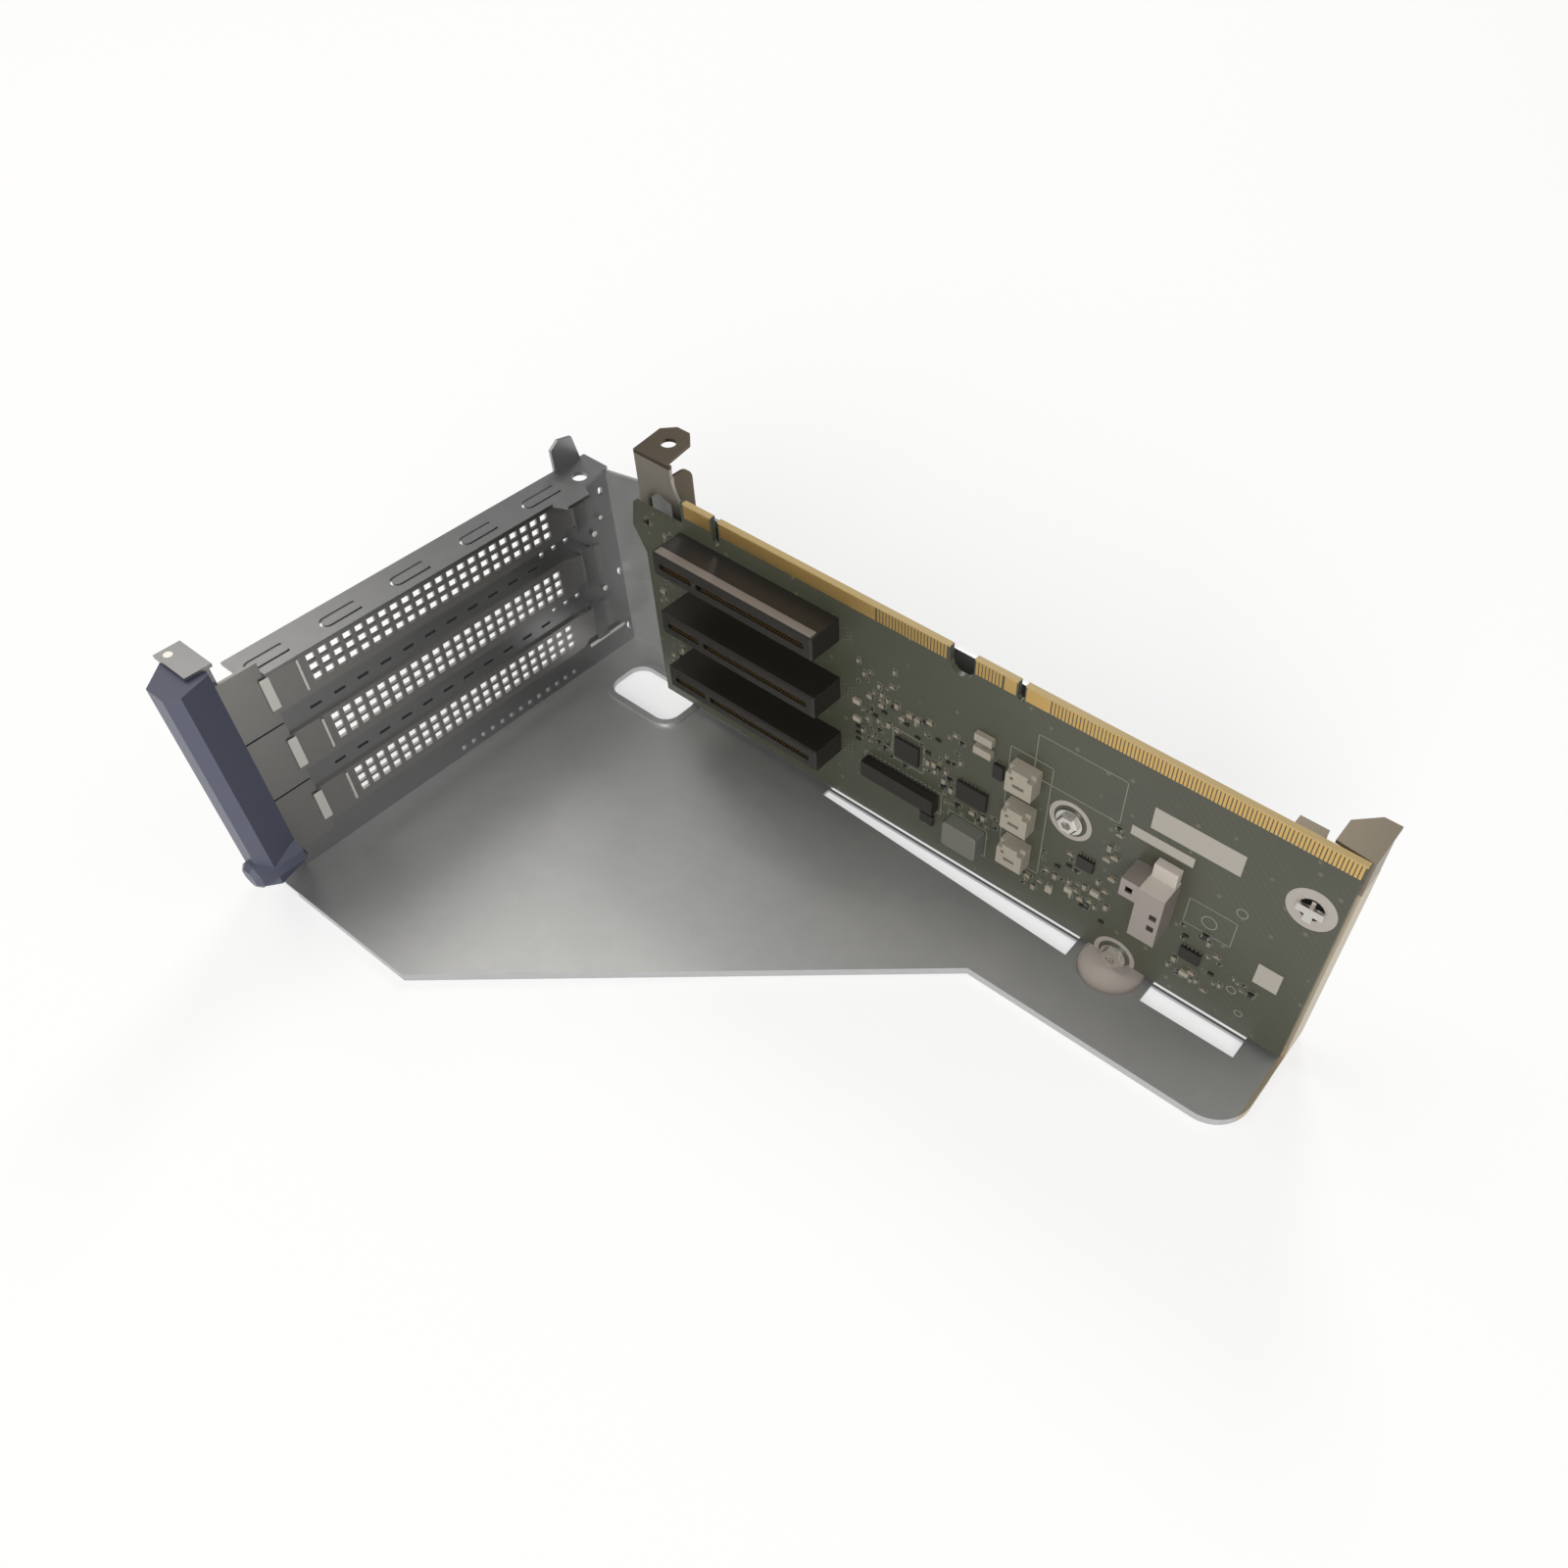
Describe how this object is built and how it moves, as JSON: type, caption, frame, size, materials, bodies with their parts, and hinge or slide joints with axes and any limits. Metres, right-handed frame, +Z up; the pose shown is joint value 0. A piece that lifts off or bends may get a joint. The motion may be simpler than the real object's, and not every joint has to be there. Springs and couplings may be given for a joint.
{
  "type": "server riser",
  "caption": "Sheet-steel server riser cage lying on its plate, with riser board, card connectors, slot covers and blue latch.",
  "frame": {"origin": "centre of the bounding box in plan, at the underside of the plate's hem", "axes": "+X along the riser board away from the rear panel, -Y from the board towards the card latch, +Z up from the plate"},
  "size_m": [0.2552, 0.149, 0.0866],
  "materials": {
    "galvanised_steel": "satin",
    "cover_steel": "satin",
    "latch_plastic": "satin",
    "pin_steel": "polished",
    "board_laminate": "satin",
    "gold_plating": "satin",
    "connector_plastic": "satin",
    "solder_tin": "satin",
    "header_plastic": "matte",
    "ferrite": "matte"
  },
  "bodies": {
    "cage": {"cage_shell": "galvanised_steel", "rear_panel": "galvanised_steel", "slot_cover_1": "cover_steel", "slot_cover_2": "cover_steel", "slot_cover_3": "cover_steel", "latch_pin": "pin_steel", "foot_bracket": "galvanised_steel", "riser_board": "board_laminate", "edge_contacts": "gold_plating", "card_connector_1": "connector_plastic", "card_connector_2": "connector_plastic", "card_connector_3": "connector_plastic", "board_screws": "pin_steel", "ground_pads": "solder_tin", "board_hook": "galvanised_steel", "sideband_header_1": "header_plastic", "sideband_header_2": "header_plastic", "sideband_header_3": "header_plastic", "socket_core": "connector_plastic", "socket_shell": "solder_tin", "pin_row": "connector_plastic", "power_inductor": "ferrite", "logic_chips": "connector_plastic", "chip_capacitors": "header_plastic", "chip_resistors": "connector_plastic", "panel_rivets": "pin_steel", "touch_tab": "latch_plastic"},
    "latch": {"retention_latch": "latch_plastic"}
  },
  "joints": [
    {"name": "latch_swing", "type": "hinge", "parent": "cage", "child": "latch", "pos_m": [-0.12515, -0.06255, 0.0426], "axis": [0, 0, -1], "range_deg": [0, 100]}
  ]
}
